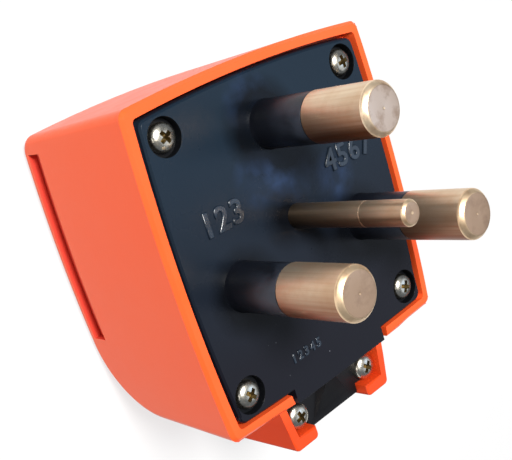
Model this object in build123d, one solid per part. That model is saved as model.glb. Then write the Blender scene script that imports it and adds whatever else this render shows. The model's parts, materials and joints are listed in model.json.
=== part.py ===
"""Side entry four pin plug: an orange cup with a cable neck, a dark face plate and brass pins.

Millimetres, Z up, resting on the flat back of the cup with the pins pointing up.
The origin is the point of the back face that lies under the centre pin.
"""

import math
import os

from build123d import *

# Cup: outline at the front rim, draft towards the back and rounded edges
cup_depth = 41.3
rim_top_half = 32.2
rim_bottom_half = 31.6
rim_top_y = 31.9
rim_bottom_y = -34.0
side_bulge = 1.3
top_bulge = 1.5
bottom_bulge = 0.7
side_draft = 2.0
top_draft = 3.0
bottom_draft = 1.5
rear_curve = 17.0
rear_top_round = 4.0
cup_edge_round = 2.0
rim_edge_chamfer = 0.3

# Walls of the cup
rim_wall = 2.1
seat_ledge = 1.3
floor_thickness = 3.0
pocket_corner = 1.0

# Finger grip grooves along the back of both side walls
grip_z_low = 2.6
grip_z_high = 6.7
grip_y_low = -15.0
grip_y_high = 26.4
grip_depth = 1.8
grip_wall = 2.0
grip_edge_chamfer = 0.5

# Face plate
plate_recess = 0.2
plate_thickness = 3.0
plate_gap_side = 0.5
plate_gap_corner = 0.8
plate_gap_top = 0.5
plate_gap_bottom = 0.4
plate_corner = 2.0
plate_edge_round = 0.4
tongue_half = 14.0
tongue_thickness = 3.8
tongue_y = -34.9
tongue_root_y = -28.0

# Barrier ribs on the back of the plate, between the terminals
barrier_length = 22.0
barrier_thickness = 1.6
barrier_depth = 9.0
barrier_start = 6.5

# Pins
pin_circle = 19.25
pin_spread_angle = 112.5
pin_radius = 5.0
pin_reach = 29.2
pin_tip_chamfer = 0.9
pin_edge_round = 0.3
pin_shank_radius = 4.0
pin_shank_tail = 8.5
sleeve_radius = 4.8
sleeve_top = 13.6
sleeve_seat = 1.0
centre_pin_radius = 2.5
centre_pin_chamfer = 0.5
centre_shank_radius = 2.0
centre_shank_tail = 9.5
centre_ring_height = 18.5
centre_ring_width = 0.4
centre_ring_depth = 0.15

# Nuts and washers behind the plate
nut_across_flats = 13.0
nut_height = 5.0
washer_radius = 7.5
washer_thickness = 1.0
centre_nut_flats = 7.0
centre_nut_height = 3.0
centre_washer_radius = 4.2
thread_clearance = 0.06
hole_clearance = 0.12

# Terminal screws in the tails of the thick pins
terminal_radius = 2.0
terminal_length = 6.0
terminal_head_radius = 3.8
terminal_head_height = 2.4
terminal_head_edge = 0.5
terminal_slot_width = 0.9
terminal_slot_depth = 1.3
terminal_washer_radius = 4.4
terminal_washer_thickness = 1.0

# Pan head screws of the plate and of the cable clamp
screw_radius = 1.5
screw_length = 9.0
head_radius = 3.0
head_height = 2.4
head_round = 1.3
cross_length = 3.7
cross_width = 0.9
cross_depth = 1.3
screw_inset_top_x = 7.7
screw_inset_top_y = 7.05
screw_inset_bottom_x = 7.0
screw_inset_bottom_y = 7.0
counterbore_radius = 3.75
counterbore_depth = 2.0

# Brass inserts and the bosses that hold them
insert_radius = 2.3
insert_length = 7.0
boss_radius = 4.0
pilot_radius = 1.8
pilot_depth = 12.0

# Cable neck below the cup
neck_root_half = 18.0
neck_end_half = 15.2
neck_root_y = -26.7
neck_end_y = -46.6
neck_z_low = 11.0
neck_back_round = 9.0
neck_wall = 1.9
neck_flange = 2.7
neck_edge_round = 1.2
rim_gap_half = 14.4
cable_slot_half = 8.4
cable_slot_centre_z = 23.0
foot_round = 1.0

# Cable clamp and its screws
clamp_screw_x = 11.0
clamp_screw_y = -40.5
clamp_half = 13.0
clamp_y_high = -36.7
clamp_y_low = -43.4
clamp_recess = 7.0
clamp_thickness = 3.0
clamp_tongue_half = 8.0
clamp_tongue_y = -45.4
hump_top_half = 0.9
hump_bottom_half = 4.8
hump_top_spread = 1.6
hump_bottom_spread = 3.0
hump_recess = 4.7
hump_fall = 2.7
clamp_arch_radius = 8.0
clamp_arch_depth = 1.2
clamp_boss_radius = 3.1

plate_front = cup_depth - plate_recess
plate_back = plate_front - plate_thickness
neck_front = plate_front - tongue_thickness
clamp_z_high = cup_depth - clamp_recess
clamp_z_low = clamp_z_high - clamp_thickness
side_slope = math.tan(math.radians(side_draft))
top_slope = math.tan(math.radians(top_draft))
bottom_slope = math.tan(math.radians(bottom_draft))
pin_angles = {"top": 90, "left": 90 + pin_spread_angle, "right": 90 - pin_spread_angle}
plate_screw_rows = {
    "top": (rim_top_half - screw_inset_top_x, rim_top_y - screw_inset_top_y),
    "bottom": (rim_bottom_half - screw_inset_bottom_x, rim_bottom_y + screw_inset_bottom_y),
}


def bulged_outline(top_half, bottom_half, top_y, bottom_y, side, top, bottom):
    """Four bowed edges joined at sharp corners, as a face on the ground plane."""
    top_left = (-top_half, top_y)
    top_right = (top_half, top_y)
    bottom_left = (-bottom_half, bottom_y)
    bottom_right = (bottom_half, bottom_y)
    middle_half = (top_half + bottom_half) / 2 + side
    middle_y = (top_y + bottom_y) / 2
    edges = [
        ThreePointArc(top_left, (0, top_y + top), top_right),
        ThreePointArc(top_right, (middle_half, middle_y), bottom_right),
        ThreePointArc(bottom_right, (0, bottom_y - bottom), bottom_left),
        ThreePointArc(bottom_left, (-middle_half, middle_y), top_left),
    ]
    return make_face(edges)


def cup_section(inset, z):
    """Outline of the drafted cup at one height, moved inwards by inset."""
    drop = cup_depth - z
    outline = bulged_outline(
        rim_top_half - inset - drop * side_slope,
        rim_bottom_half - inset - drop * side_slope,
        rim_top_y - inset - drop * top_slope,
        rim_bottom_y + inset + drop * bottom_slope,
        side_bulge,
        top_bulge,
        bottom_bulge,
    )
    return Pos(0, 0, z) * outline


def cup_block(inset, z_top, z_bottom, curve):
    """The drafted cup form with its curved rear, moved inwards by inset, between two heights."""
    block = loft([cup_section(inset, z_bottom), cup_section(inset, z_top)], ruled=True)
    back_edges = block.faces().sort_by(Axis.Z)[0].edges().sort_by(Axis.Y)
    return fillet(back_edges[0], curve)


def rounded_cup(inset):
    """The whole outer cup form, moved inwards by inset, with its edges rounded."""
    block = cup_block(inset, cup_depth, 0, rear_curve)
    back_edges = block.faces().sort_by(Axis.Z)[0].edges().sort_by(Axis.Y)
    block = fillet(back_edges[-1], rear_top_round)
    for index in (0, -1):
        side = block.faces().sort_by(Axis.X)[index]
        chain = side.edges().sort_by(Axis.Z)[:-1]
        block = fillet(chain, cup_edge_round)
    return block


def upright(radius, z_low, z_high):
    """A cylinder on the Z axis between two heights."""
    standing = (Align.CENTER, Align.CENTER, Align.MIN)
    return Pos(0, 0, z_low) * Cylinder(radius, z_high - z_low, align=standing)


def slab(x_low, x_high, y_low, y_high, z_low, z_high):
    """A box between two corners."""
    box = Box(x_high - x_low, y_high - y_low, z_high - z_low, align=(Align.MIN, Align.MIN, Align.MIN))
    return Pos(x_low, y_low, z_low) * box


def turned(points):
    """A solid turned about the Z axis from pairs of radius and height."""
    profile = make_face(Polyline([(r, 0, z) for r, z in points], close=True).edges())
    return revolve(profile, Axis.Z)


def mirrored_slabs(x_low, x_high, y_low, y_high, z_low, z_high):
    """The same box on both sides of the centre."""
    right = slab(x_low, x_high, y_low, y_high, z_low, z_high)
    left = slab(-x_high, -x_low, y_low, y_high, z_low, z_high)
    return right + left


def neck_section(half, back_z, front_z, corner, y):
    """A U shaped section of the neck, open side towards the front."""
    points = [(-half, back_z), (half, back_z), (half, front_z), (-half, front_z)]
    flat = make_face(Polyline(points, close=True))
    corners = flat.vertices().group_by(Axis.Y)[0]
    flat = fillet(corners, corner)
    place = Plane(origin=(0, y, 0), x_dir=(1, 0, 0), z_dir=(0, -1, 0))
    return place * flat


def neck_block(wall, y_end, front_z):
    """The neck form with its sides moved inwards by wall, down to y_end."""
    slope = (neck_root_half - neck_end_half) / (neck_root_y - neck_end_y)
    end_half = neck_end_half + slope * (y_end - neck_end_y)
    corner = neck_back_round - wall
    root = neck_section(neck_root_half - wall, neck_z_low + wall, front_z, corner, neck_root_y)
    end = neck_section(end_half - wall, neck_z_low + wall, front_z, corner, y_end)
    return loft([root, end], ruled=True)


def cable_slot():
    """The U shaped slot in the neck end that lets the cable out."""
    y_low = neck_end_y - neck_flange
    y_high = neck_end_y + 2 * neck_flange
    channel = slab(-cable_slot_half, cable_slot_half, y_low, y_high, cable_slot_centre_z, cup_depth)
    round_end = Rot(90, 0, 0) * upright(cable_slot_half, 0, y_high - y_low)
    return channel + Pos(0, y_high, cable_slot_centre_z) * round_end


def grip_grooves():
    """The finger grooves: everything outside the groove floor, between the grip limits."""
    reach = rim_top_half + 2 * side_bulge
    zone = mirrored_slabs(rim_top_half / 2, reach, grip_y_low, grip_y_high, grip_z_low, grip_z_high)
    return zone - rounded_cup(grip_depth)


def grip_backing():
    """The wall behind the grip grooves, moulded inwards to keep its thickness."""
    reach = rim_top_half + 2 * side_bulge
    z_high = grip_z_high + grip_wall
    y_low = grip_y_low - grip_wall
    y_high = grip_y_high + grip_wall
    zone = mirrored_slabs(rim_top_half / 2, reach, y_low, y_high, floor_thickness / 2, z_high)
    return (zone & rounded_cup(grip_depth / 2)) - rounded_cup(grip_depth + grip_wall)


def round_slot(shell):
    """Round the outer edge of the cable slot and of the feet beside it."""
    edges = []
    for edge in shell.faces().sort_by(Axis.Y)[0].edges():
        box = edge.bounding_box()
        inside = max(abs(box.min.X), abs(box.max.X)) < cable_slot_half + foot_round / 2
        above = box.min.Z > cable_slot_centre_z - cable_slot_half - foot_round / 2
        if inside and above:
            edges.append(edge)
    return fillet(edges, foot_round)


def ease_grips(shell):
    """Ease the long front edge of each finger groove."""
    edges = ShapeList()
    for edge in shell.edges():
        long = edge.length > (grip_y_high - grip_y_low) / 2
        high = abs(edge.center().Z - grip_z_high) < grip_edge_chamfer / 2
        if long and high:
            edges.append(edge)
    edges = edges.sort_by(Axis.X)
    return chamfer([edges[0], edges[-1]], grip_edge_chamfer)


def make_housing():
    """The orange cup with its rim, bosses, grips and cable neck in one moulding."""
    outer = rounded_cup(0)
    outer = chamfer(outer.faces().sort_by(Axis.Z)[-1].edges(), rim_edge_chamfer)
    neck = neck_block(0, neck_end_y, neck_front)
    end_edges = neck.faces().sort_by(Axis.Y)[0].edges().sort_by(Axis.Z)[:-1]
    neck = fillet(end_edges, neck_edge_round)
    shell = outer + neck
    wall = rim_wall + seat_ledge
    cavity = cup_block(wall, plate_back, floor_thickness, rear_curve - wall)
    pocket_outline = cup_section(rim_wall, cup_depth)
    pocket_outline = fillet(pocket_outline.vertices(), pocket_corner)
    pocket = extrude(pocket_outline, plate_back - cup_depth)
    shell = shell - cavity - pocket
    shell = shell - neck_block(neck_wall, neck_end_y + neck_flange, cup_depth)
    gap = slab(-rim_gap_half, rim_gap_half, neck_end_y, rim_bottom_y / 2, neck_front, 2 * cup_depth)
    shell = shell - gap
    shell = shell - cable_slot()
    shell = round_slot(shell)
    shell = shell + grip_backing() - grip_grooves()
    shell = ease_grips(shell)
    for x, y in plate_screw_places():
        boss = Pos(x, y, 0) * upright(boss_radius, 0, plate_back)
        shell = shell + (boss & outer)
    for x in (-clamp_screw_x, clamp_screw_x):
        boss = upright(clamp_boss_radius, neck_z_low + neck_wall / 2, clamp_z_low)
        shell = shell + Pos(x, clamp_screw_y, 0) * boss
    for x, y, top in insert_places():
        shell = shell - Pos(x, y, 0) * upright(insert_radius, top - insert_length, top)
        shell = shell - Pos(x, y, 0) * upright(pilot_radius, top - pilot_depth, top)
    return shell


def plate_screw_places():
    """Axes of the four screws near the corners of the plate."""
    return [(side * x, y) for x, y in plate_screw_rows.values() for side in (-1, 1)]


def insert_places():
    """Axis and top height of each brass insert."""
    places = [(x, y, plate_back) for x, y in plate_screw_places()]
    for x in (-clamp_screw_x, clamp_screw_x):
        places.append((x, clamp_screw_y, clamp_z_low))
    return places


def pin_place(angle):
    """Centre of a thick pin on the pin circle."""
    turn = math.radians(angle)
    return pin_circle * math.cos(turn), pin_circle * math.sin(turn)


def barrier_angles():
    """Directions of the three barriers, each halfway between two thick pins."""
    top, left, right = pin_angles["top"], pin_angles["left"], pin_angles["right"]
    return (top + right) / 2, (top + left) / 2, top + 180


def make_face_plate():
    """The dark plate with its lower tongue, screw counterbores, pin holes and rear barriers."""
    corner_inset = rim_wall + plate_gap_corner
    bow = plate_gap_corner - plate_gap_side
    outline = bulged_outline(
        rim_top_half - corner_inset,
        rim_bottom_half - corner_inset,
        rim_top_y - rim_wall - plate_gap_top,
        rim_bottom_y + rim_wall + plate_gap_bottom,
        side_bulge + bow,
        top_bulge,
        bottom_bulge,
    )
    outline = fillet(outline.vertices(), plate_corner)
    plate = extrude(Pos(0, 0, plate_back) * outline, plate_thickness)
    plate = plate + slab(-tongue_half, tongue_half, tongue_y, tongue_root_y, neck_front, plate_front)
    front_edges = plate.faces().sort_by(Axis.Z)[-1].edges()
    rounded = [edge for edge in front_edges if abs(edge.center().X) > tongue_half or edge.center().Y > 0]
    plate = chamfer(rounded, plate_edge_round)
    for angle in barrier_angles():
        bar = slab(barrier_start, barrier_length, -barrier_thickness / 2, barrier_thickness / 2,
                   plate_back - barrier_depth, plate_back)
        plate = plate + Rot(0, 0, angle) * bar
    for angle in pin_angles.values():
        x, y = pin_place(angle)
        plate = plate - Pos(x, y, 0) * upright(pin_shank_radius + hole_clearance, 0, cup_depth)
        plate = plate - Pos(x, y, 0) * upright(sleeve_radius, plate_front - sleeve_seat, cup_depth)
    plate = plate - upright(centre_shank_radius + hole_clearance, 0, cup_depth)
    for x, y in plate_screw_places():
        hole = upright(screw_radius + hole_clearance, 0, cup_depth)
        counterbore = upright(counterbore_radius, plate_front - counterbore_depth, cup_depth)
        plate = plate - Pos(x, y, 0) * (hole + counterbore)
    return plate


def make_pin():
    """A thick pin: full size tip, reduced shank for sleeve, plate and nut, tapped tail."""
    tip = cup_depth + pin_reach
    shoulder = cup_depth + sleeve_top
    tail = plate_back - pin_shank_tail
    pin = turned([
        (0, tail),
        (pin_shank_radius, tail),
        (pin_shank_radius, shoulder),
        (pin_radius - pin_edge_round, shoulder),
        (pin_radius, shoulder + pin_edge_round),
        (pin_radius, tip - pin_tip_chamfer),
        (pin_radius - pin_tip_chamfer, tip),
        (0, tip),
    ])
    return pin - upright(terminal_radius, tail, tail + terminal_length)


def make_sleeve():
    """The insulating sleeve between the plate and the shoulder of a thick pin."""
    low = plate_front - sleeve_seat
    high = cup_depth + sleeve_top
    return upright(sleeve_radius, low, high) - upright(pin_shank_radius + hole_clearance, low, high)


def make_centre_pin():
    """The thin centre pin with a fine turned ring and a threaded shank."""
    tip = cup_depth + pin_reach
    ring = cup_depth + centre_ring_height
    return turned([
        (0, plate_back - centre_shank_tail),
        (centre_shank_radius, plate_back - centre_shank_tail),
        (centre_shank_radius, plate_front),
        (centre_pin_radius, plate_front),
        (centre_pin_radius, ring),
        (centre_pin_radius - centre_ring_depth, ring + centre_ring_width / 2),
        (centre_pin_radius, ring + centre_ring_width),
        (centre_pin_radius, tip - centre_pin_chamfer),
        (centre_pin_radius - centre_pin_chamfer, tip),
        (0, tip),
    ])


def make_nut(across_flats, height, bore, top):
    """A hexagon nut below the given height."""
    hexagon = RegularPolygon(across_flats / 2, 6, major_radius=False)
    blank = extrude(Pos(0, 0, top - height) * hexagon, height)
    return blank - upright(bore + thread_clearance, top - height, top)


def make_washer(radius, bore, thickness, top):
    """A flat ring below the given height."""
    return upright(radius, top - thickness, top) - upright(bore + hole_clearance, top - thickness, top)


def make_terminal_screw():
    """The screw that clamps a wire lug against the tail of a thick pin, head down."""
    tail = plate_back - pin_shank_tail
    under = tail - terminal_washer_thickness
    shank = upright(terminal_radius - thread_clearance, under, tail + terminal_length - screw_radius)
    head = upright(terminal_head_radius, under - terminal_head_height, under)
    head = chamfer(head.faces().sort_by(Axis.Z)[0].edges(), terminal_head_edge)
    head_low = under - terminal_head_height
    reach = terminal_head_radius + terminal_slot_width
    half = terminal_slot_width / 2
    slot = slab(-reach, reach, -half, half, head_low, head_low + terminal_slot_depth)
    return shank + head - slot


def make_pan_screw():
    """A pan head screw with a cross recess, its head seated at height zero."""
    shoulder = head_round * (1 - math.sqrt(0.5))
    screw = turned([
        (0, -screw_length),
        (screw_radius, -screw_length),
        (screw_radius, 0),
        (head_radius, 0),
        (head_radius, head_height - head_round),
        (head_radius - shoulder, head_height - shoulder),
        (head_radius - head_round, head_height),
        (0, head_height),
    ])
    across = Box(cross_length, cross_width, cross_depth, align=(Align.CENTER, Align.CENTER, Align.MAX))
    along = Box(cross_width, cross_length, cross_depth, align=(Align.CENTER, Align.CENTER, Align.MAX))
    return screw - Pos(0, 0, head_height) * (across + along)


def make_insert():
    """A brass insert with its top at height zero."""
    sleeve = upright(insert_radius, -insert_length, 0)
    return sleeve - upright(screw_radius + thread_clearance, -insert_length, 0)


def make_clamp():
    """The clamp bar with screw ears, a tapered raised middle and a tongue between the feet."""
    bar = slab(-clamp_half, clamp_half, clamp_y_low, clamp_y_high, clamp_z_low, clamp_z_high)
    half = clamp_tongue_half
    bar = bar + slab(-half, half, clamp_tongue_y, clamp_y_high, clamp_z_low, clamp_z_high)
    hump_high = cup_depth - hump_recess
    low = Pos(0, 0, clamp_z_high - clamp_thickness / 2) * hump_outline(hump_top_spread, hump_bottom_spread)
    high = Pos(0, 0, hump_high) * hump_outline(0, 0)
    hump = loft([low, high], ruled=True)
    tilt = math.degrees(math.atan(hump_fall / (clamp_y_high - clamp_tongue_y)))
    trim = slab(-cup_depth, cup_depth, -cup_depth, cup_depth, 0, cup_depth)
    bar = bar + (hump - Pos(0, clamp_y_high, hump_high) * Rot(tilt, 0, 0) * trim)
    cable = Pos(0, clamp_y_high, clamp_z_low + clamp_arch_depth - clamp_arch_radius)
    length = clamp_y_high - clamp_tongue_y
    bar = bar - cable * Rot(90, 0, 0) * upright(clamp_arch_radius, 0, length)
    for x in (-clamp_screw_x, clamp_screw_x):
        bar = bar - Pos(x, clamp_screw_y, 0) * upright(screw_radius + hole_clearance, 0, cup_depth)
    return bar


def hump_outline(top_spread, bottom_spread):
    """Outline of the raised middle of the clamp, made wider by the given spreads."""
    top = hump_top_half + top_spread
    bottom = hump_bottom_half + bottom_spread
    upper = [(-top, clamp_y_high), (top, clamp_y_high)]
    lower = [(bottom, clamp_tongue_y), (-bottom, clamp_tongue_y)]
    return make_face(Polyline(upper + lower, close=True))


def build_parts():
    """Every physical piece by node name."""
    parts = {
        "housing": make_housing(),
        "face_plate": make_face_plate(),
        "cable_clamp": make_clamp(),
        "centre_pin": make_centre_pin(),
    }
    tail = plate_back - pin_shank_tail
    nut_top = plate_back - washer_thickness
    for name, angle in pin_angles.items():
        x, y = pin_place(angle)
        spot = Pos(x, y, 0)
        parts["phase_pin_" + name] = spot * make_pin()
        parts["pin_sleeve_" + name] = spot * make_sleeve()
        parts["pin_washer_" + name] = spot * make_washer(
            washer_radius, pin_shank_radius, washer_thickness, plate_back)
        parts["pin_nut_" + name] = spot * make_nut(nut_across_flats, nut_height, pin_shank_radius, nut_top)
        parts["terminal_washer_" + name] = spot * make_washer(
            terminal_washer_radius, terminal_radius, terminal_washer_thickness, tail)
        parts["terminal_screw_" + name] = spot * make_terminal_screw()
    parts["centre_washer"] = make_washer(
        centre_washer_radius, centre_shank_radius, washer_thickness, plate_back)
    parts["centre_nut"] = make_nut(centre_nut_flats, centre_nut_height, centre_shank_radius, nut_top)
    parts["centre_wire_nut"] = make_nut(
        centre_nut_flats, centre_nut_height, centre_shank_radius, nut_top - centre_nut_height)
    screw_seat = plate_front - counterbore_depth
    for name, side in (("left", -1), ("right", 1)):
        for row, (x, y) in plate_screw_rows.items():
            parts["plate_screw_" + row + "_" + name] = Pos(side * x, y, screw_seat) * make_pan_screw()
            parts["plate_insert_" + row + "_" + name] = Pos(side * x, y, plate_back) * make_insert()
        x = side * clamp_screw_x
        parts["clamp_screw_" + name] = Pos(x, clamp_screw_y, clamp_z_high) * make_pan_screw()
        parts["clamp_insert_" + name] = Pos(x, clamp_screw_y, clamp_z_low) * make_insert()
    return parts


os.makedirs("parts", exist_ok=True)
for node, shape in build_parts().items():
    export_step(shape, "parts/" + node + ".step")
    print(node, round(shape.volume, 1))
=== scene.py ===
import json
import math
from contextlib import contextmanager
import bpy
import bmesh
from mathutils import Matrix, Vector


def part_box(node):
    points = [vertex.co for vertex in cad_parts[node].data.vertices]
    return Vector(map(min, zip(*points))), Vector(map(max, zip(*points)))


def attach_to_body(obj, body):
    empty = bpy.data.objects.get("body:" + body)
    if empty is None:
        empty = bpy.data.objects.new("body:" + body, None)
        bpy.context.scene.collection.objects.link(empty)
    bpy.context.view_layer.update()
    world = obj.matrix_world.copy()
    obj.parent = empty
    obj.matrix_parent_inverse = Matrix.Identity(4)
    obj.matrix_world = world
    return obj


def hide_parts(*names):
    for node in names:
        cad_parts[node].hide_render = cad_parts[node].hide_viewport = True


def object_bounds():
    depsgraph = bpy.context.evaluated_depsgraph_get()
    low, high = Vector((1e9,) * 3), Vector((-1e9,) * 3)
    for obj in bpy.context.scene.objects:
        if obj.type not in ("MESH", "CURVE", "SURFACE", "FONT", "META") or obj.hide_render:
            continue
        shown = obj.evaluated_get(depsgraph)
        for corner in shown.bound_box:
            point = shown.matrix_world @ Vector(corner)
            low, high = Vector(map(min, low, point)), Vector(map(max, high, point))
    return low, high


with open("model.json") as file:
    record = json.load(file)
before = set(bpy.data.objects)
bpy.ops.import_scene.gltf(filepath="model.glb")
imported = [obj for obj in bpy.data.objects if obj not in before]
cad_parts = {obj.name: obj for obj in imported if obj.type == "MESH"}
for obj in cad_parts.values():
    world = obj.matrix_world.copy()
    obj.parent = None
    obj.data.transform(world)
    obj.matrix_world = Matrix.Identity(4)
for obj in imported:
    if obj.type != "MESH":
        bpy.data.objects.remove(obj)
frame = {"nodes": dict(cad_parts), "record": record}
cadLow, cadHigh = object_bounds()
cadNodes = frame["nodes"]
mm = 0.001
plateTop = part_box("face_plate")[1].z / mm
print("frame loaded,", len(cadNodes), "CAD nodes")


def mathMethod(operation):
    # a method that adds one Math node, fed by the socket itself and by what it is given
    return lambda self, *others: self.tree.node(
        "ShaderNodeMath", {"operation": operation}, dict(enumerate([self, *others])))


class Val:  # a socket that can stand in an expression
    def __init__(self, tree, socket):
        self.tree, self.socket = tree, socket

    __add__ = __radd__ = mathMethod("ADD")
    __mul__ = __rmul__ = mathMethod("MULTIPLY")
    __sub__ = mathMethod("SUBTRACT")
    __truediv__ = mathMethod("DIVIDE")
    power = mathMethod("POWER")
    modulo = mathMethod("MODULO")
    sin = mathMethod("SINE")
    cos = mathMethod("COSINE")
    angleOver = mathMethod("ARCTAN2")
    size = mathMethod("ABSOLUTE")
    least = mathMethod("MINIMUM")
    most = mathMethod("MAXIMUM")
    below = mathMethod("LESS_THAN")
    above = mathMethod("GREATER_THAN")

    def __rsub__(self, other):
        return self.tree.node("ShaderNodeMath", {"operation": "SUBTRACT"}, {0: other, 1: self})


class Tree:  # a node tree, whose nodes all come from one method
    def __init__(self, nodeTree):
        self.nodes, self.links = nodeTree.nodes, nodeTree.links

    def node(self, kind, settings=None, values=None, output=0):
        made = self.nodes.new(kind)
        for name, value in (settings or {}).items():
            setattr(made, name, value)
        for key, value in (values or {}).items():
            socket = made.inputs[key]
            if isinstance(value, Val):
                self.links.new(value.socket, socket)
            elif isinstance(value, list):
                for each in value:
                    self.links.new(each.socket, socket)
            elif socket.type == "RGBA" and len(value) == 3:
                socket.default_value = (*value, 1.0)
            else:
                socket.default_value = value
        return Val(self, made.outputs[output]) if made.outputs else made

    def other(self, val, name):
        return Val(self, val.socket.node.outputs[name])

    def mixColour(self, factor, first, second):
        return self.node("ShaderNodeMix", {"data_type": "RGBA"}, {0: factor, 6: first, 7: second}, output=2)

    def remap(self, value, low, high, outLow, outHigh):
        return self.node("ShaderNodeMapRange", {"clamp": True}, {
            0: value, 1: low, 2: high, 3: outLow, 4: outHigh})

    def noise(self, place, scale, detail, roughness=0.5):
        return self.node("ShaderNodeTexNoise", {}, {
            "Vector": place, "Scale": scale, "Detail": detail, "Roughness": roughness})

    def coordinates(self, name):
        return self.other(self.node("ShaderNodeTexCoord"), name)

    def distance(self, place, spot):
        return self.node("ShaderNodeVectorMath", {"operation": "DISTANCE"}, {
            0: place, 1: spot}, output="Value")

    def bump(self, strength, distance, height):
        return self.node("ShaderNodeBump", {}, {"Strength": strength, "Distance": distance, "Height": height})

    def part(self, vector, axis):
        return self.other(self.node("ShaderNodeSeparateXYZ", {}, {0: vector}), axis)

    def split(self, vector):
        return [self.part(vector, axis) for axis in "XYZ"]

    def combine(self, **axes):
        return self.node("ShaderNodeCombineXYZ", {}, axes)


def linear(colour):  # from a screen colour to the light values the shader wants
    return tuple(c / 12.92 if c <= 0.04045 else ((c + 0.055) / 1.055) ** 2.4 for c in colour)


def newMaterial(name):
    material = bpy.data.materials.new(name)
    material.use_nodes = True
    tree = Tree(material.node_tree)
    tree.nodes.clear()
    return material, tree


def closeMaterial(tree, values):
    shader = tree.node("ShaderNodeBsdfPrincipled", {}, values)
    tree.node("ShaderNodeOutputMaterial", {}, {"Surface": shader})


orangeLook = {"colour": (0.925, 0.338, 0.147), "wearAndShade": (0.91, 0.38, 0.215), "neckShade": (0.80, 0.24, 0.09),
              "roughness": 0.34, "sheen": 0.22}
# the neck's copy is less glossy, and its darker colour is painted shade
neckLook = {"colour": (0.90, 0.30, 0.12), "wearAndShade": (0.88, 0.33, 0.17), "neckShade": (0.80, 0.24, 0.09),
            "roughness": 0.5, "sheen": 0.05}
# the groove's sides are a darker red, as painted shade in the recess; its floor is paler, as painted light
grooveLook = {"colour": (0.82, 0.27, 0.21), "wearAndShade": (0.79, 0.255, 0.20), "neckShade": (0.82, 0.27, 0.21),
              "roughness": 0.4, "sheen": 0.15}
grooveFloorLook = {"colour": (0.96, 0.36, 0.28), "wearAndShade": (0.93, 0.34, 0.27), "neckShade": (0.96, 0.36, 0.28),
                   "roughness": 0.45, "sheen": 0.15}
neckShadeFrom, neckShadeTo = -31.0 * mm, -40.0 * mm  # the orange is painted darker toward the neck, as painted shade under the cup


def makeOrangePlastic(name, look):
    material, tree = newMaterial(name)
    place = tree.coordinates("Object")
    cloud = tree.noise(place, 38.0, 3.0)
    grain = tree.noise(place, 1400.0, 2.0, 0.6)
    streak = tree.noise(place, 210.0, 4.0, 0.65)
    tone = tree.remap(cloud, 0.35, 0.7, 0.0, 1.0)
    colour = tree.mixColour(tone * 0.35, linear(look["colour"]), linear(look["wearAndShade"]))
    neckShadeShare = tree.remap(tree.part(place, "Y"), neckShadeFrom, neckShadeTo, 0.0, 0.9)
    # painted shade: the colour turns darker and deeper toward the neck
    colour = tree.mixColour(neckShadeShare, colour, linear(look["neckShade"]))
    closeMaterial(tree, {
        "Base Color": colour, "Specular IOR Level": look["sheen"],
        "Roughness": look["roughness"] + (streak - 0.5) * 0.14 + (cloud - 0.5) * 0.1,
        "Normal": tree.bump(0.06, 0.0002, grain + streak * 0.6)})
    return material


# in mm, the pale patches are painted reflection as (x, y, reach), and the dark rounds round the pins are
# painted shade as (x, y, near, far)
plateLook = {"upper": (0.084, 0.13, 0.175), "upperAt": 22.0, "lower": (0.078, 0.081, 0.108), "lowerAt": -22.0,
             "paintedReflection": (0.15, 0.215, 0.33), "dust": (0.62, 0.64, 0.67), "paintedShade": (0.02, 0.024, 0.035),
             "ragged": 3.0, "roughness": 0.28, "sheen": 0.16,
             "paintedReflections": ((-3.5, 24.6, 7.0), (-7.0, 10.5, 6.5), (1.0, 8.5, 7.5), (13.0, 3.5, 6.5)),
             "wearAndShade": ((-1.6, 19.4, 6.5, 11.0), (-17.4, -8.8, 6.0, 10.0), (16.4, -9.2, 6.0, 10.5),
                      (-2.2, 0.6, 2.2, 7.5), (3.5, 13.0, 2.0, 7.0))}


def makePlatePlastic(name, look):
    material, tree = newMaterial(name)
    place = tree.coordinates("Object")
    smear = tree.noise(place, 45.0, 5.0, 0.6)
    cloud = tree.noise(place, 170.0, 3.0)
    grain = tree.noise(place, 1800.0, 2.0)
    dots = tree.node("ShaderNodeTexVoronoi", {"feature": "F1"}, {
        "Vector": place, "Scale": 420.0, "Randomness": 1.0})
    dust = dots.below(0.05) * tree.remap(smear, 0.58, 0.68, 0.0, 1.0)
    paintedReflection = paintedShade = 0.0
    # painted reflection: pale bluish patches on the plate
    for x, y, reach in look["paintedReflections"]:
        away = tree.distance(place, (x * mm, y * mm, plateTop * mm))
        paintedReflection = tree.remap(away, 0.0, reach * mm, 1.0, 0.0) + paintedReflection
    paintedReflection = (paintedReflection * tree.remap(cloud, 0.40, 0.62, 0.15, 1.0)).least(1.0)
    # painted shade: dark rounds round the pins and where their shadows fall
    for x, y, near, far in look["wearAndShade"]:
        away = tree.distance(place, (x * mm, y * mm, plateTop * mm)) + (cloud - 0.5) * (look["ragged"] * mm)
        paintedShade = tree.remap(away, near * mm, far * mm, 1.0, 0.0) + paintedShade
    # painted light: the plate is lighter and bluer toward the top
    upward = tree.remap(tree.part(place, "Y"), look["lowerAt"] * mm, look["upperAt"] * mm, 0.0, 1.0)
    colour = tree.mixColour(upward, linear(look["lower"]), linear(look["upper"]))
    colour = tree.mixColour(paintedReflection, colour, linear(look["paintedReflection"]))
    colour = tree.mixColour((paintedShade * 0.9).least(0.9), colour, linear(look["paintedShade"]))
    colour = tree.mixColour(dust * 0.5, colour, linear(look["dust"]))
    closeMaterial(tree, {
        "Base Color": colour, "Specular IOR Level": look["sheen"],
        "Roughness": look["roughness"] + (smear - 0.5) * 0.2, "Normal": tree.bump(0.08, 0.0002, grain)})
    return material


clampLook = {"colour": (0.04, 0.04, 0.048), "roughness": 0.45, "grain": 1500.0, "sheen": 0.25}
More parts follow.
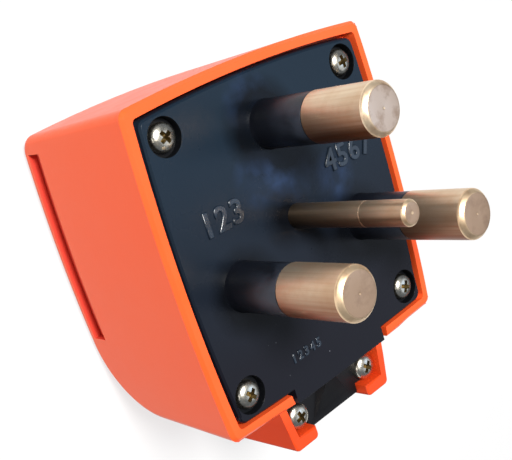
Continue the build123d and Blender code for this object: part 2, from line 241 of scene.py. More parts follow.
# painted shade: a darker black for the screw recesses in the plate
boreLook = {"colour": (0.025, 0.03, 0.042), "roughness": 0.5, "grain": 1800.0, "sheen": 0.2}
figurePlasticLook = {"colour": (0.085, 0.115, 0.15), "roughness": 0.24, "grain": 2600.0, "sheen": 0.6}
sleevePlasticLook = {"colour": (0.035, 0.045, 0.07), "roughness": 0.38, "grain": 2200.0, "sheen": 0.4,
                     "paintedGleam": {"from": 46.0, "to": 54.0, "amount": 0.5, "colour": (0.20, 0.23, 0.28)}}


def makeBlackPlastic(name, look):
    material, tree = newMaterial(name)
    place = tree.coordinates("Object")
    smear = tree.noise(place, 120.0, 4.0, 0.6)
    grain = tree.noise(place, look["grain"], 2.0)
    lighter = tuple(min(1.0, c * 1.45) for c in look["colour"])
    colour = tree.mixColour(tree.remap(smear, 0.35, 0.7, 0.0, 1.0), linear(look["colour"]), linear(lighter))
    # painted highlight: a paler patch on the sleeves' upper part, near the brass
    if "paintedGleam" in look:
        paintedGleam = look["paintedGleam"]
        upward = tree.remap(tree.part(place, "Z"), paintedGleam["from"] * mm, paintedGleam["to"] * mm, 0.0, 1.0)
        gleamShare = upward * tree.remap(smear, 0.40, 0.62, 0.0, 1.0)
        colour = tree.mixColour(gleamShare * paintedGleam["amount"], colour, linear(paintedGleam["colour"]))
    closeMaterial(tree, {
        "Base Color": colour, "Specular IOR Level": look["sheen"],
        "Roughness": look["roughness"] + (smear - 0.5) * 0.2, "Normal": tree.bump(0.1, 0.0002, grain)})
    return material


brassLook = {"bright": (0.87, 0.785, 0.675), "tarnish": (0.80, 0.655, 0.51), "under": (0.45, 0.235, 0.115),
             "root": (0.34, 0.29, 0.235), "rootTo": 67.0, "roughness": 0.38, "metal": 0.9}


def makePinBrass(name, look, rootDarkening):
    material, tree = newMaterial(name)
    place, flat = tree.coordinates("Object"), tree.coordinates("UV")
    around, along, height = tree.part(flat, "X"), tree.part(flat, "Y"), tree.part(place, "Z")
    cloud = tree.noise(place, 160.0, 4.0, 0.6)
    spots = tree.noise(place, 620.0, 3.0, 0.7)
    turn = around * math.tau
    drawn = tree.combine(X=turn.sin() * 9.0, Y=turn.cos() * 9.0, Z=along * 0.3)
    streak = tree.noise(drawn, 1.1, 4.0, 0.6)
    under = ((around - 0.70) * math.tau).cos()  # the pins' lower sides are painted browner and darker, as painted shade
    bright, tarnish = linear(look["bright"]), linear(look["tarnish"])
    brown, root = linear(look["under"]), linear(look["root"])
    colour = tree.mixColour(tree.remap(cloud + spots * 0.2, 0.5, 0.85, 0.0, 0.7), bright, tarnish)
    colour = tree.mixColour(tree.remap(streak, 0.5, 0.72, 0.0, 0.4), colour, tarnish)
    colour = tree.mixColour(tree.remap(under + (streak - 0.5) * 0.5, -0.75, 0.85, 0.0, 0.95), colour, brown)
    # the slim pin is darker toward its root
    fromRoot = height + (cloud - 0.5) * 0.01
    rootShare = tree.remap(fromRoot, plateTop * mm, look["rootTo"] * mm, rootDarkening, 0.0)
    colour = tree.mixColour(rootShare, colour, root)
    closeMaterial(tree, {
        "Base Color": colour, "Metallic": look["metal"],
        "Roughness": look["roughness"] + (cloud - 0.5) * 0.1 + (streak - 0.5) * 0.1,
        "Normal": tree.bump(0.05, 0.0001, streak)})
    return material


# the brown comes in between brownFrom and the middle of the plug, so the two lower pins have it
pinFaceLook = {"bright": (0.85, 0.755, 0.675), "smudge": (0.66, 0.535, 0.44), "brown": (0.76, 0.63, 0.52),
               "brownFrom": 14.0, "roughness": 0.33, "metal": 0.9}
# painted highlight: the bevel round each tip is a paler copy of the face
pinRimLook = {"bright": (0.93, 0.84, 0.72), "smudge": (0.76, 0.61, 0.47), "brown": (0.90, 0.79, 0.65),
              "brownFrom": 14.0, "roughness": 0.42, "metal": 0.9}


def makePinFace(name, look):
    material, tree = newMaterial(name)
    place = tree.coordinates("Object")
    along = tree.part(tree.coordinates("UV"), "Y")
    cloud = tree.noise(place, 330.0, 3.0, 0.55)
    spots = tree.noise(place, 1500.0, 3.0, 0.6)
    turned = tree.node("ShaderNodeTexNoise", {"noise_dimensions": "1D"},
                       {"W": along, "Scale": 14.0, "Detail": 3.0, "Roughness": 0.6})
    downward = tree.remap(tree.part(place, "Y"), look["brownFrom"] * mm, 0.0, 0.0, 1.0)
    smudged = tree.remap(cloud + (spots - 0.5) * 0.2, 0.48, 0.72, 0.0, 0.75)
    colour = tree.mixColour(downward, linear(look["bright"]), linear(look["brown"]))
    colour = tree.mixColour(smudged, colour, linear(look["smudge"]))
    closeMaterial(tree, {
        "Base Color": colour, "Metallic": look["metal"],
        "Roughness": look["roughness"] + (spots - 0.5) * 0.15,
        "Normal": tree.bump(0.05, 0.0001, turned + spots * 0.5)})
    return material


screwNickelLook = {"bright": (0.92, 0.91, 0.86), "stain": (0.72, 0.65, 0.55),
                   "roughness": 0.27, "stained": 0.7}
# painted shade: the cross recess is a darker, browner copy of the nickel
recessNickelLook = {"bright": (0.56, 0.49, 0.33), "stain": (0.30, 0.25, 0.17),
                    "roughness": 0.45, "stained": 0.9}
insertBrassLook = {"bright": (0.80, 0.66, 0.42), "stain": (0.60, 0.46, 0.28),
                   "roughness": 0.35, "stained": 0.6}
zincSteelLook = {"bright": (0.78, 0.79, 0.78), "stain": (0.55, 0.55, 0.52),
                 "roughness": 0.32, "stained": 0.6}


def makePlatedMetal(name, look):
    material, tree = newMaterial(name)
    place = tree.coordinates("Object")
    cloud = tree.noise(place, 520.0, 5.0, 0.65)
    mark = tree.noise(place, 1500.0, 3.0, 0.6)
    stained = tree.remap(cloud, 0.42, 0.72, 0.0, look["stained"])
    closeMaterial(tree, {
        "Base Color": tree.mixColour(stained, linear(look["bright"]), linear(look["stain"])), "Metallic": 1.0,
        "Roughness": look["roughness"] + (mark - 0.5) * 0.25, "Normal": tree.bump(0.2, 0.0001, mark + cloud)})
    return material


orangePlastic = makeOrangePlastic("orangePlastic", orangeLook)
groovePlastic = makeOrangePlastic("groovePlastic", grooveLook)
grooveFloorPlastic = makeOrangePlastic("grooveFloorPlastic", grooveFloorLook)
neckPlastic = makeOrangePlastic("neckPlastic", neckLook)
platePlastic = makePlatePlastic("platePlastic", plateLook)
clampPlastic = makeBlackPlastic("clampPlastic", clampLook)
borePlastic = makeBlackPlastic("borePlastic", boreLook)
sleevePlastic = makeBlackPlastic("sleevePlastic", sleevePlasticLook)
figurePlastic = makeBlackPlastic("figurePlastic", figurePlasticLook)
pinBrass = makePinBrass("pinBrass", brassLook, rootDarkening=0.0)
slimPinBrass = makePinBrass("slimPinBrass", brassLook, rootDarkening=0.9)
pinFace = makePinFace("pinFace", pinFaceLook)
pinRim = makePinFace("pinRim", pinRimLook)
screwNickel = makePlatedMetal("screwNickel", screwNickelLook)
recessNickel = makePlatedMetal("recessNickel", recessNickelLook)
insertBrass = makePlatedMetal("insertBrass", insertBrassLook)
zincSteel = makePlatedMetal("zincSteel", zincSteelLook)
print("materials made")

bySlot = {"orange_plastic": orangePlastic, "plate_plastic": platePlastic, "clamp_plastic": clampPlastic,
          "sleeve_plastic": sleevePlastic, "pin_brass": pinBrass, "screw_metal": screwNickel,
          "insert_brass": insertBrass, "terminal_metal": zincSteel}
slotOf = {part["node"]: part["material_slot"] for part in frame["record"]["subparts"]}
for name, node in cadNodes.items():
    node.data.materials.clear()
    node.data.materials.append(bySlot[slotOf[name]])


@contextmanager
def editing(mesh, create=False):
    work = bmesh.new()
    if not create:
        work.from_mesh(mesh)
    yield work
    work.to_mesh(mesh)
    work.free()


def attach(piece, replaced=()):
    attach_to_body(piece, "root")
    if replaced:
        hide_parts(*replaced)
    return piece


def newObject(name, data):
    made = bpy.data.objects.new(name, data)
    bpy.context.scene.collection.objects.link(made)
    return made


def keepModifiers(piece):
    shown = piece.evaluated_get(bpy.context.evaluated_depsgraph_get())
    kept = bpy.data.meshes.new_from_object(shown)
    piece.modifiers.clear()
    piece.data = kept
    kept.name = piece.name


def markSharp(mesh, sharpAngle=32.0):
    with editing(mesh) as work:
        for face in work.faces:
            face.smooth = True
        for edge in work.edges:
            if len(edge.link_faces) == 2:
                edge.smooth = edge.calc_face_angle(0.0) < math.radians(sharpAngle)


def cleanCopy(node, name, material):
    # the CAD node's own form, merged, with coplanar triangles joined and smooth shading between sharp edges
    mesh = cadNodes[node].data.copy()
    mesh.name = name
    with editing(mesh) as work:
        bmesh.ops.remove_doubles(work, verts=work.verts, dist=1e-6)
        bmesh.ops.dissolve_limit(work, angle_limit=math.radians(0.3), verts=work.verts, edges=work.edges)
    markSharp(mesh)
    mesh.materials.clear()
    mesh.materials.append(material)
    return attach(newObject(name, mesh), [node])


def softenCorners(profile, steps=3):
    # each corner is (radius, height, round), and a round above zero becomes a short bend
    points = []
    count = len(profile)
    for i, (r, z, bend) in enumerate(profile):
        corner = Vector((r, z))
        if bend <= 0.0:
            points.append((r, z))
            continue
        before = Vector(profile[i - 1][:2]) - corner
        after = Vector(profile[(i + 1) % count][:2]) - corner
        start, end = corner + before.normalized() * bend, corner + after.normalized() * bend
        for k in range(steps + 1):
            t = k / steps
            point = start * (1 - t) ** 2 + corner * 2 * t * (1 - t) + end * t ** 2
            points.append((point.x, point.y))
    return points


uvPerMm = 0.1  # what the UV map's second axis gains along each mm of the profile


def turnedMesh(name, centre, profile, material, segments=96, ring=False):
    # a profile in mm is turned about the upright line through the centre, which is in metres,
    # and runs from inside bottom round the outside to inside top
    points = softenCorners(profile)
    mesh = bpy.data.meshes.new(name)
    with editing(mesh, create=True) as work:
        along = work.loops.layers.uv.new("UVMap")
        rows, travel, length = [], [0.0], 0.0
        for i, (r, z) in enumerate(points):
            if i:
                length += math.dist(points[i - 1], (r, z))
                travel.append(length)
            place = Vector((centre[0], centre[1], z * mm))
            if r < 1e-6:
                rows.append([work.verts.new(place)])
            else:
                rows.append([work.verts.new(place + Vector((r * mm * math.cos(a), r * mm * math.sin(a), 0.0)))
                             for a in (math.tau * j / segments for j in range(segments))])
        pairs = list(zip(range(len(rows)), range(1, len(rows))))
        if ring:
            pairs.append((len(rows) - 1, 0))
            travel.append(length + math.dist(points[-1], points[0]))
        for low, high in pairs:
            for j in range(segments):
                k = (j + 1) % segments
                chosen = []
                for row, column in [(low, j), (low, k), (high, k), (high, j)]:
                    vert = rows[row][column if len(rows[row]) > 1 else 0]
                    if vert not in [c[0] for c in chosen]:
                        chosen.append((vert, row, column))
                face = work.faces.new([c[0] for c in chosen])
                for loop, (vert, row, column) in zip(face.loops, chosen):
                    turn = 1.0 if column == 0 and j == segments - 1 else column / segments
                    loop[along].uv = (turn, travel[len(rows) if ring and row == 0 and low else row] * uvPerMm)
    mesh.materials.append(material)
    markSharp(mesh)
    return mesh


def axisOf(node):  # the centre in metres, then the low and high ends in mm
    low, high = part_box(node)
    return ((low.x + high.x) / 2, (low.y + high.y) / 2), low.z / mm, high.z / mm


tipLook = {"depth": 1.1, "rimFrom": 0.12, "flatFrom": 0.95}


def faceTip(mesh, tip, look=tipLook):
    # the flat end of a pin has a finish of its own, and the bevel round it is a paler copy, as a painted
    # highlight
    mesh.materials.append(pinFace)
    mesh.materials.append(pinRim)
    for face in mesh.polygons:
        if face.center.z > (tip - look["depth"]) * mm and face.normal.z > look["rimFrom"]:
            face.material_index = 1 if face.normal.z > look["flatFrom"] else 2


phasePinLook = {"radius": 5.0, "shank": 4.0, "shoulder": 54.9, "edge": 0.22, "tipChamfer": 0.85,
                "tipRound": 0.3, "dimple": 0.3, "dimpleRim": 0.03, "dimpleDepth": 0.14, "bore": 2.0,
                "boreDepth": 6.0}


def phasePinProfile(tail, tip, look):
    bore, boreTop, shank, radius = look["bore"], tail + look["boreDepth"], look["shank"], look["radius"]
    shoulder, edge, chamfer, bend = look["shoulder"], look["edge"], look["tipChamfer"], look["tipRound"]
    return [
        (0.0, boreTop, 0.0), (bore, boreTop, 0.0), (bore, tail, 0.1), (shank, tail, 0.2),
        (shank, shoulder, 0.0), (radius - edge, shoulder, 0.0), (radius, shoulder + edge, 0.08),
        (radius, tip - chamfer, bend), (radius - chamfer, tip, bend),
        (look["dimple"], tip - look["dimpleRim"], 0.08), (0.0, tip - look["dimpleDepth"], 0.0)]


sides = ("top", "left", "right")
for side in sides:
    centre, tail, tip = axisOf("phase_pin_" + side)
    mesh = turnedMesh("phasePin_" + side, centre, phasePinProfile(tail, tip, phasePinLook), pinBrass)
    faceTip(mesh, tip)
    attach(newObject("phasePin_" + side, mesh), ["phase_pin_" + side])

sleeveLook = {"radius": 4.93, "root": 5.05, "rootHeight": 1.0, "rootRound": 0.5, "bore": 4.12,
              "wall": 0.5, "edge": 0.12}


def sleeveProfile(low, high, look):
    bore, radius = look["bore"], look["radius"]
    neck = bore + look["wall"]
    return [
        (bore, low, 0.0), (neck, low, 0.0), (neck, plateTop, 0.0), (look["root"], plateTop, 0.0),
        (radius, plateTop + look["rootHeight"], look["rootRound"]),
        (radius, high, look["edge"]), (bore, high, 0.0)]


for side in sides:
    centre, low, high = axisOf("pin_sleeve_" + side)
    profile = sleeveProfile(low, high, sleeveLook)
    mesh = turnedMesh("pinSleeve_" + side, centre, profile, sleevePlastic, ring=True)
    attach(newObject("pinSleeve_" + side, mesh), ["pin_sleeve_" + side])

centrePinLook = {"radius": 2.5, "shank": 2.0, "ringAt": 59.8, "ringWidth": 0.3, "ringDepth": 0.07,
                 "chamfer": 0.5, "dimple": 0.4, "dimpleRim": 0.01, "dimpleDepth": 0.15}


def centrePinProfile(tail, tip, look):
    radius, shank, chamfer = look["radius"], look["shank"], look["chamfer"]
    ringLow, ringHigh = look["ringAt"], look["ringAt"] + look["ringWidth"]
    return [
        (0.0, tail, 0.0), (shank, tail, 0.2), (shank, plateTop, 0.0), (radius, plateTop, 0.1),
        (radius, ringLow, 0.05), (radius - look["ringDepth"], (ringLow + ringHigh) / 2, 0.05),
        (radius, ringHigh, 0.05), (radius, tip - chamfer, 0.15), (radius - chamfer, tip, 0.15),
        (look["dimple"], tip - look["dimpleRim"], 0.06), (0.0, tip - look["dimpleDepth"], 0.0)]


centre, tail, tip = axisOf("centre_pin")
mesh = turnedMesh("centrePin", centre, centrePinProfile(tail, tip, centrePinLook), slimPinBrass, segments=64)
faceTip(mesh, tip)
attach(newObject("centrePin", mesh), ["centre_pin"])
print("pins and sleeves made")


def newGeometryTree(name, numbers, materials):
    group = bpy.data.node_groups.new(name, "GeometryNodeTree")
    kinds = {"Geometry": "Geometry"}
    kinds.update(dict.fromkeys(numbers, "Float"))
    kinds.update(dict.fromkeys(materials, "Material"))
    for label, kind in kinds.items():
        group.interface.new_socket(label, in_out="INPUT", socket_type="NodeSocket" + kind)
    group.interface.new_socket("Geometry", in_out="OUTPUT", socket_type="NodeSocketGeometry")
    tree = Tree(group)
    start = tree.node("NodeGroupInput")
    return group, tree, {label: tree.other(start, label) for label in kinds}


def setMaterial(tree, shape, material, **chosen):
    return tree.node("GeometryNodeSetMaterial", {}, {"Geometry": shape, "Material": material, **chosen})


def shiftUp(tree, shape, height):
    return tree.node("GeometryNodeTransform", {}, {"Geometry": shape, "Translation": tree.combine(Z=height)})


def boolean(tree, operation, shapes):
    return tree.node("GeometryNodeMeshBoolean", {"operation": operation, "solver": "EXACT"}, shapes)


def closeGeometryTree(tree, inputs, shape, **chosen):
    # one shape at each seat, turned as the seat says
    turn = tree.node("GeometryNodeInputNamedAttribute", {"data_type": "FLOAT"}, {"Name": "turn"})
    placed = tree.node("GeometryNodeInstanceOnPoints", {}, {
        "Points": inputs["Geometry"], "Instance": shape, "Rotation": tree.combine(Z=turn)})
    real = tree.node("GeometryNodeRealizeInstances", {}, {"Geometry": placed})
    tree.node("NodeGroupOutput", {}, {"Geometry": setMaterial(tree, real, inputs["Metal"], **chosen)})


def growPiece(name, group, values, seats, sharpAngle):
    # seats are (x, y, z, turn) in metres and radians
    mesh = bpy.data.meshes.new(name)
    mesh.from_pydata([seat[:3] for seat in seats], [], [])
    turns = mesh.attributes.new("turn", "FLOAT", "POINT")
    turns.data.foreach_set("value", [seat[3] for seat in seats])
    piece = newObject(name, mesh)
    modifier = piece.modifiers.new(name, "NODES")
    modifier.node_group = group
    for item in group.interface.items_tree:
        if item.in_out == "INPUT" and item.name in values:
            modifier[item.identifier] = values[item.name]
    keepModifiers(piece)
    markSharp(piece.data, sharpAngle)
    return piece


def panScrewTree():
    group, tree, inputs = newGeometryTree("panScrew", (
        "Head Radius", "Head Height", "Dome", "Shank Radius", "Shank Length",
        "Recess Length", "Recess Width", "Recess Depth"), ("Metal", "Recess Metal"))
    radius, height, dome = inputs["Head Radius"], inputs["Head Height"], inputs["Dome"]
    head = tree.node("GeometryNodeMeshCylinder", {"fill_type": "TRIANGLE_FAN"}, {
        "Vertices": 48, "Side Segments": 1, "Fill Segments": 12, "Radius": radius, "Depth": height})
    head = shiftUp(tree, head, height * 0.5)
    x, y, z = tree.split(tree.node("GeometryNodeInputPosition"))
    share = ((x * x + y * y).power(0.5) / radius).most(0.0001)
    angle, fullness = share * (math.pi / 2), 0.85  # a fullness of 1 would give a plain half ellipse
    outward = angle.sin().power(fullness) / share
    rise = angle.cos().most(0.0).power(fullness)
    domed = tree.combine(X=x * outward, Y=y * outward, Z=(height - dome) + dome * rise)
    head = tree.node("GeometryNodeSetPosition", {}, {
        "Geometry": head, "Selection": z.above(height * 0.9), "Position": domed})
    shank = tree.node("GeometryNodeMeshCylinder", {"fill_type": "NGON"}, {
        "Vertices": 24, "Radius": inputs["Shank Radius"], "Depth": inputs["Shank Length"]})
    shank = shiftUp(tree, shank, inputs["Shank Length"] * -0.5)
    arms = []
    long, wide = inputs["Recess Length"], inputs["Recess Width"]
    for armX, armY in ((long, wide), (wide, long)):
        arm = tree.node("GeometryNodeMeshCube", {}, {
            "Size": tree.combine(X=armX, Y=armY, Z=inputs["Recess Depth"] * 2.0)})
        x, y, z = tree.split(tree.node("GeometryNodeInputPosition"))
        narrow = z.below(0.0) * -0.55 + 1.0  # the cross narrows toward its bottom
        arms.append(tree.node("GeometryNodeSetPosition", {}, {
            "Geometry": arm, "Position": tree.combine(X=x * narrow, Y=y * narrow, Z=z)}))
    cross = shiftUp(tree, boolean(tree, "UNION", {"Mesh 2": arms}), height)
    cross = setMaterial(tree, cross, inputs["Recess Metal"])
    head = setMaterial(tree, head, inputs["Metal"])
    shank = setMaterial(tree, shank, inputs["Metal"])
    head = boolean(tree, "DIFFERENCE", {"Mesh 1": head, "Mesh 2": [cross]})
    whole = tree.node("GeometryNodeJoinGeometry", {}, {"Geometry": [head, shank]})
    recess = tree.node("GeometryNodeMaterialSelection", {}, {"Material": inputs["Recess Metal"]})
    closeGeometryTree(tree, inputs, whole, Selection=recess.below(0.5))
    return group


panScrewLook = {"Head Radius": 2.8 * mm, "Head Height": 2.4 * mm, "Dome": 1.5 * mm,
                "Shank Radius": 1.5 * mm, "Shank Length": 9.0 * mm, "Recess Length": 3.9 * mm,
                "Recess Width": 1.25 * mm, "Recess Depth": 1.3 * mm,
                "Metal": screwNickel, "Recess Metal": recessNickel}
# how far each screw was turned when it was tightened, in radians
screwTurns = {"plate_screw_top_left": 0.55, "plate_screw_top_right": 0.15, "plate_screw_bottom_left": 0.75,
              "plate_screw_bottom_right": 1.1, "clamp_screw_left": 0.3, "clamp_screw_right": 0.9}
panScrew = panScrewTree()
for pieceName, start in (("plateScrews", "plate_screw_"), ("clampScrews", "clamp_screw_")):
    names = sorted(n for n in cadNodes if n.startswith(start))
    seats = []
    for name in names:
        (x, y), low, high = axisOf(name)
        seats.append((x, y, high * mm - panScrewLook["Head Height"], screwTurns[name]))
    piece = growPiece(pieceName, panScrew, panScrewLook, seats, sharpAngle=40.0)
    attach(piece, names)
print("screws made")


def boredBody(tree, body, radius, wall, height, bore):
    # every outer point of the body moves to the wall's radius, then the bore is cut
    x, y, z = tree.split(tree.node("GeometryNodeInputPosition"))
    reach = (x * x + y * y).power(0.5).most(0.000001)
    share = wall(z, y.angleOver(x)) / reach
    inner = reach.below(radius * 0.5)  # points near the axis stay, as the bore takes them away
    share = share * (1 - inner) + inner
    shaped = tree.node("GeometryNodeSetPosition", {}, {
        "Geometry": body, "Position": tree.combine(X=x * share, Y=y * share, Z=z)})
    hole = tree.node("GeometryNodeMeshCylinder", {"fill_type": "NGON"}, {
        "Vertices": 40, "Radius": bore, "Depth": height * 1.4})
    return boolean(tree, "DIFFERENCE", {"Mesh 1": shaped, "Mesh 2": [hole]})


def hexNutTree():
    group, tree, inputs = newGeometryTree("hexNut", ("Flats", "Height", "Bore"), ("Metal",))
    flats, height = inputs["Flats"], inputs["Height"]
    faceShare, chamferSlope = 0.47, 1.732  # the chamfer starts from this share of the flats, at 30 degrees
    body = tree.node("GeometryNodeMeshCylinder", {"fill_type": "TRIANGLE_FAN"}, {
        "Vertices": 72, "Side Segments": 10, "Fill Segments": 1, "Radius": flats * 0.5, "Depth": height})

    def wall(z, angle):  # six flats, with the corners chamfered at both ends
        fold = (angle + math.pi * 13 / 6).modulo(math.pi / 3) - math.pi / 6
        chamfer = flats * faceShare + (height * 0.5 - z.size()) * chamferSlope
        return (flats * 0.5 / fold.cos()).least(chamfer)

    closeGeometryTree(tree, inputs, boredBody(tree, body, flats * 0.5, wall, height, inputs["Bore"]))
    return group


def insertTree():
    group, tree, inputs = newGeometryTree(
        "knurledInsert", ("Radius", "Length", "Bore", "Knurl", "Ridges", "Neck"), ("Metal",))
    radius, length, knurl = inputs["Radius"], inputs["Length"], inputs["Knurl"]
    body = tree.node("GeometryNodeMeshCylinder", {"fill_type": "TRIANGLE_FAN"}, {
        "Vertices": 96, "Side Segments": 14, "Fill Segments": 1, "Radius": radius, "Depth": length})

    def wall(z, angle):  # ridges, with a plain neck at the middle and at both ends
        knurled = radius - ((angle * inputs["Ridges"]).sin() * 0.5 + 0.5) * knurl
        necked = z.size().below(inputs["Neck"]) + (length * 0.5 - z.size()).below(length * 0.02)
        return knurled - necked * knurl

    closeGeometryTree(tree, inputs, boredBody(tree, body, radius, wall, length, inputs["Bore"]))
    return group


hexNut = hexNutTree()
hardware = {
    "pinNuts": {
        "tree": hexNut, "nodes": ("pin_nut_",), "slot": "terminal_metal",
        "values": {"Flats": 13.0 * mm, "Height": 5.0 * mm, "Bore": 4.06 * mm, "Metal": zincSteel}},
    "centreNuts": {
        "tree": hexNut, "nodes": ("centre_nut", "centre_wire_nut"), "slot": "terminal_metal",
        "values": {"Flats": 7.0 * mm, "Height": 3.0 * mm, "Bore": 2.06 * mm, "Metal": zincSteel}},
    "screwInserts": {
        "tree": insertTree(), "nodes": ("plate_insert_", "clamp_insert_"), "slot": "insert_brass",
        "values": {"Radius": 2.3 * mm, "Length": 7.0 * mm, "Bore": 1.56 * mm, "Knurl": 0.14 * mm,
                   "Ridges": 24.0, "Neck": 0.6 * mm, "Metal": insertBrass}},
}
for pieceName, look in hardware.items():
    names = sorted(n for n in cadNodes if n.startswith(look["nodes"]))
    seats = []
    for name in names:
        (x, y), low, high = axisOf(name)
        boxLow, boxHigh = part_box(name)
        # where the CAD nut's box is wider in x, its corners lie on that axis
        quarter = math.pi / 2 if boxHigh.x - boxLow.x > boxHigh.y - boxLow.y else 0.0
        seats.append((x, y, (low + high) / 2 * mm, quarter))
    piece = growPiece(pieceName, look["tree"], look["values"], seats, sharpAngle=25.0)
    attach(piece, names)
print("nuts and inserts made")

# raised figures on the plate, plain numbers only
figureLook = {
    "left": {"text": "123", "at": (-18.0, 4.45), "height": 4.7,
             "spacing": 1.12, "raise": 0.36, "bold": 0.06},
    "right": {"text": "4567", "at": (18.7, 4.8), "height": 4.7,
              "spacing": 1.12, "raise": 0.36, "bold": 0.06},
    "small": {"text": "12345", "at": (-8.1, -26.9), "height": 1.9,
              "spacing": 1.35, "raise": 0.2, "bold": 0.03}}
fontSize = 1.42  # the font's size for a figure one unit high


def makeFigures(name, look, material):
    data = bpy.data.curves.new(name, "FONT")
    data.body = look["text"]
    data.align_x = "CENTER"
    data.size = look["height"] * fontSize * mm
    data.space_character = look["spacing"]
    data.offset = look["bold"] * mm
    data.extrude = look["raise"] * 0.4 * mm
    data.bevel_depth = look["raise"] * 0.6 * mm
    data.bevel_resolution = 2
    data.resolution_u = 4
    letters = newObject(name, data)
    shown = letters.evaluated_get(bpy.context.evaluated_depsgraph_get())
    mesh = bpy.data.meshes.new_from_object(shown)
    mesh.name = name
    bpy.data.objects.remove(letters)
    mesh.transform(Matrix.Translation((look["at"][0] * mm, look["at"][1] * mm, plateTop * mm)))
    mesh.materials.clear()
    mesh.materials.append(material)
    return attach(newObject(name, mesh))


for side, look in figureLook.items():
    makeFigures("plateFigures_" + side, look, figurePlastic)
print("figures made")


def moveTogether(moves):
    # each point takes the mean of the steps that its faces ask for
    for vert, steps in moves.items():
        vert.co += sum(steps, Vector()) / len(steps)


def sidewaysNormal(face):
    return Vector((face.normal.x, face.normal.y, 0.0)).normalized()


def isChamfer(face):  # neither level nor upright, and looking up
    return 0.4 < face.normal.z < 0.9


def softEdges(piece, look):
    # every edge sharper than the angle is rounded, then the bevel is kept in the mesh
    bevel = piece.modifiers.new("softEdges", "BEVEL")
    bevel.width = look["edge"] * mm
    bevel.segments = look["segments"]
    bevel.limit_method = "ANGLE"
    bevel.angle_limit = math.radians(look["sharp"])
    bevel.miter_outer = "MITER_ARC"
    bevel.harden_normals = False
    keepModifiers(piece)
    markSharp(piece.data, sharpAngle=45.0)
    weighted = piece.modifiers.new("flatFaces", "WEIGHTED_NORMAL")
    weighted.keep_sharp = True
    weighted.weight = 60
    keepModifiers(piece)


housingLook = {"edge": 0.3, "segments": 3, "sharp": 30.0, "rimOuter": 0.45, "rimInner": 0.3, "rimReach": 0.5,
               "rimGap": 16.5, "rimGapFrom": -25.0, "neckFrom": -34.6, "footFrom": -35.0, "footFront": 37.3,
               "footTop": 0.5, "footSharp": 60.0, "grooveSide": 20.0, "grooveY": (-15.6, 27.0),
               "grooveZ": (2.55, 7.3)}


def colourHousing(work, look):
    (yLow, yHigh), (zLow, zHigh) = look["grooveY"], look["grooveZ"]
    for face in work.faces:
        corners = [vert.co / mm for vert in face.verts]
        if all(zLow < c.z < zHigh and yLow < c.y < yHigh and abs(c.x) > look["grooveSide"] for c in corners):
            face.material_index = 2 if abs(face.normal.x) > 0.7 else 1  # the groove's floor, paler as painted light, or its sides, darker red as painted shade
        # the neck's sides take the darker copy of the orange, as painted shade
        elif face.calc_center_median().y < look["neckFrom"] * mm and abs(face.normal.z) < 0.9:
            face.material_index = 3


def easeRim(work, look, top):
    # the small flat along each edge of the rim is widened, so that the rim reads as rounded
    moves = {}
    for face in work.faces:
        corners = [vert.co / mm for vert in face.verts]
        inGap = any(abs(c.x) < look["rimGap"] and c.y < look["rimGapFrom"] for c in corners)
        if isChamfer(face) and all(c.z > top - look["rimReach"] for c in corners) and not inGap:
            flat = sidewaysNormal(face)
            step = (look["rimOuter"] if flat.dot(face.calc_center_median()) > 0 else look["rimInner"]) * mm
            for vert in face.verts:
                inward = vert.co.z > (top - 0.1) * mm
                moves.setdefault(vert, []).append(flat * -step if inward else Vector((0.0, 0.0, -step)))
    moveTogether(moves)


def roundFeet(work, look):
    # the edges round the front faces of the neck's walls are bevelled
    edges = []
    for edge in work.edges:
        ends = [vert.co / mm for vert in edge.verts]
        onFront = all(abs(end.z - look["footFront"]) < 0.05 and end.y < look["footFrom"] for end in ends)
        sharp = len(edge.link_faces) == 2 and math.degrees(edge.calc_face_angle(0.0)) > look["footSharp"]
        if onFront and sharp:
            edges.append(edge)
    bmesh.ops.bevel(work, geom=edges, offset=look["footTop"] * mm, segments=3, profile=0.5, affect="EDGES",
                    clamp_overlap=True)


housing = cleanCopy("housing", "housingShell", orangePlastic)
for material in (groovePlastic, grooveFloorPlastic, neckPlastic):
    housing.data.materials.append(material)
with editing(housing.data) as work:
    colourHousing(work, housingLook)
    easeRim(work, housingLook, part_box("housing")[1].z / mm)
    roundFeet(work, housingLook)
softEdges(housing, housingLook)

plateEdgeLook = {"edge": 0.25, "segments": 3, "sharp": 30.0, "inset": 0.35, "insetReach": 0.5,
                 "insetFrom": -30.0, "insetOutside": 15.0, "boreReach": 4.0, "boreClear": 5.0,
                 "boreDepth": 0.1}


def insetPlate(work, look, screws):
    # the plate's front edge is drawn in a little, so that the joint round it shows dark,
    # and its screw recesses are painted darker, as painted shade
    moves = {}
    for face in work.faces:
        middle = face.calc_center_median() / mm
        near = min(math.dist(middle.xy, screw) for screw in screws)
        if near < look["boreReach"] and middle.z < plateTop - look["boreDepth"]:
            face.material_index = 1
        atFront = isChamfer(face) and middle.z > plateTop - look["insetReach"] and middle.y > look["insetFrom"]
        flat = sidewaysNormal(face)
        if atFront and near > look["boreClear"] and flat.dot(middle) > look["insetOutside"]:
            for vert in face.verts:
                moves.setdefault(vert, []).append(flat * -look["inset"] * mm)
    moveTogether(moves)


plate = cleanCopy("face_plate", "facePlate", platePlastic)
plate.data.materials.append(borePlastic)
screwSpots = [Vector(axisOf(name)[0]) / mm for name in cadNodes if name.startswith("plate_screw_")]
with editing(plate.data) as work:
    insetPlate(work, plateEdgeLook, screwSpots)
softEdges(plate, plateEdgeLook)
cleanCopy("cable_clamp", "cableClamp", clampPlastic)
print("mouldings made")

# half the floor's width is in metres, and its depth below the plug in mm
floorLook = {"half": 30.0, "below": 0.05, "dark": (0.13, 0.13, 0.13), "light": (0.15, 0.15, 0.15),
             "glow": 0.76}


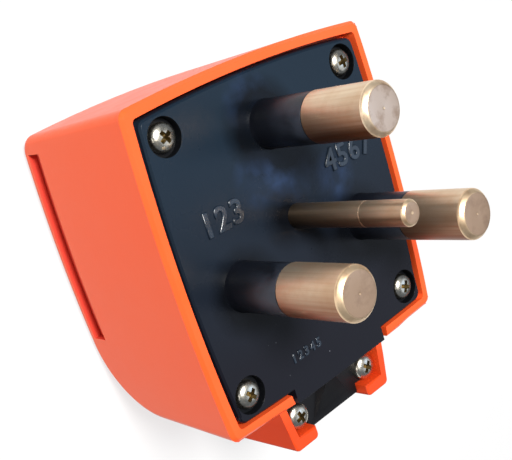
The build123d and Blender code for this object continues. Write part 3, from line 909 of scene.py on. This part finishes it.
def makeFloor(look):
    half, low = look["half"], cadLow.z - look["below"] * mm
    mesh = bpy.data.meshes.new("studioFloor")
    corners = [(-half, -half, low), (half, -half, low), (half, half, low), (-half, half, low)]
    mesh.from_pydata(corners, [], [(0, 1, 2, 3)])
    material, tree = newMaterial("palePaper")
    fibre = tree.noise(tree.coordinates("Object"), 30.0, 2.0)
    closeMaterial(tree, {
        "Base Color": tree.mixColour(fibre, look["dark"], look["light"]), "Roughness": 0.9,
        "Emission Color": (1.0, 1.0, 1.0), "Emission Strength": look["glow"]})
    mesh.materials.append(material)
    newObject("studioFloor", mesh)


studio = {
    "key": {"at": (-0.20, 0.30, 0.80), "size": 0.28, "power": 14.5, "colour": (1.0, 0.985, 0.96)},
    "side": {"at": (-0.95, 0.05, 0.32), "size": 0.5, "power": 1.2, "colour": (1.0, 0.95, 0.90)},
    "panel": {"at": (0.66, -0.27, 0.86), "size": 0.95, "power": 1.5, "colour": (0.84, 0.90, 1.0)},
    "sky": {"at": (0.58, -0.14, 0.78), "size": 0.22, "power": 0.15, "colour": (0.35, 0.60, 1.0)},
}
lightTarget = Vector((0.0, 0.0, 0.03))


def makeLight(name, look):
    data = bpy.data.lights.new(name, "AREA")
    data.shape = "DISK"
    data.size = look["size"]
    data.energy = look["power"]
    data.color = look["colour"]
    light = newObject(name, data)
    light.location = look["at"]
    light.rotation_euler = (lightTarget - Vector(look["at"])).to_track_quat("-Z", "Y").to_euler()


makeFloor(floorLook)
for name, look in studio.items():
    makeLight(name, look)

world = bpy.data.worlds.new("studioAir")
world.use_nodes = True
air = Tree(world.node_tree)
air.nodes.clear()
backdrop = air.node("ShaderNodeBackground", {}, {"Color": (0.80, 0.88, 1.0), "Strength": 0.13})
air.node("ShaderNodeOutputWorld", {}, {"Surface": backdrop})
bpy.context.scene.world = world
bpy.context.scene.view_settings.view_transform = "Standard"

# the photograph's viewpoint, from the pins' side and above the left wall
shot = {"at": (-0.118620, 0.045573, 0.174575), "lens": 64.80, "right": (0.69534, -0.29235, 0.65653),
        "up": (0.38407, 0.92330, 0.00437), "back": (-0.60745, 0.24911, 0.75429)}
cameraData = bpy.data.cameras.new("shot")
cameraData.lens = shot["lens"]
cameraData.sensor_width = 36.0
cameraData.clip_start = 0.005
camera = newObject("shot", cameraData)
turn = Matrix((shot["right"], shot["up"], shot["back"])).transposed()
camera.matrix_world = Matrix.Translation(shot["at"]) @ turn.to_4x4()
bpy.context.scene.camera = camera
print("stage, lights and camera set")
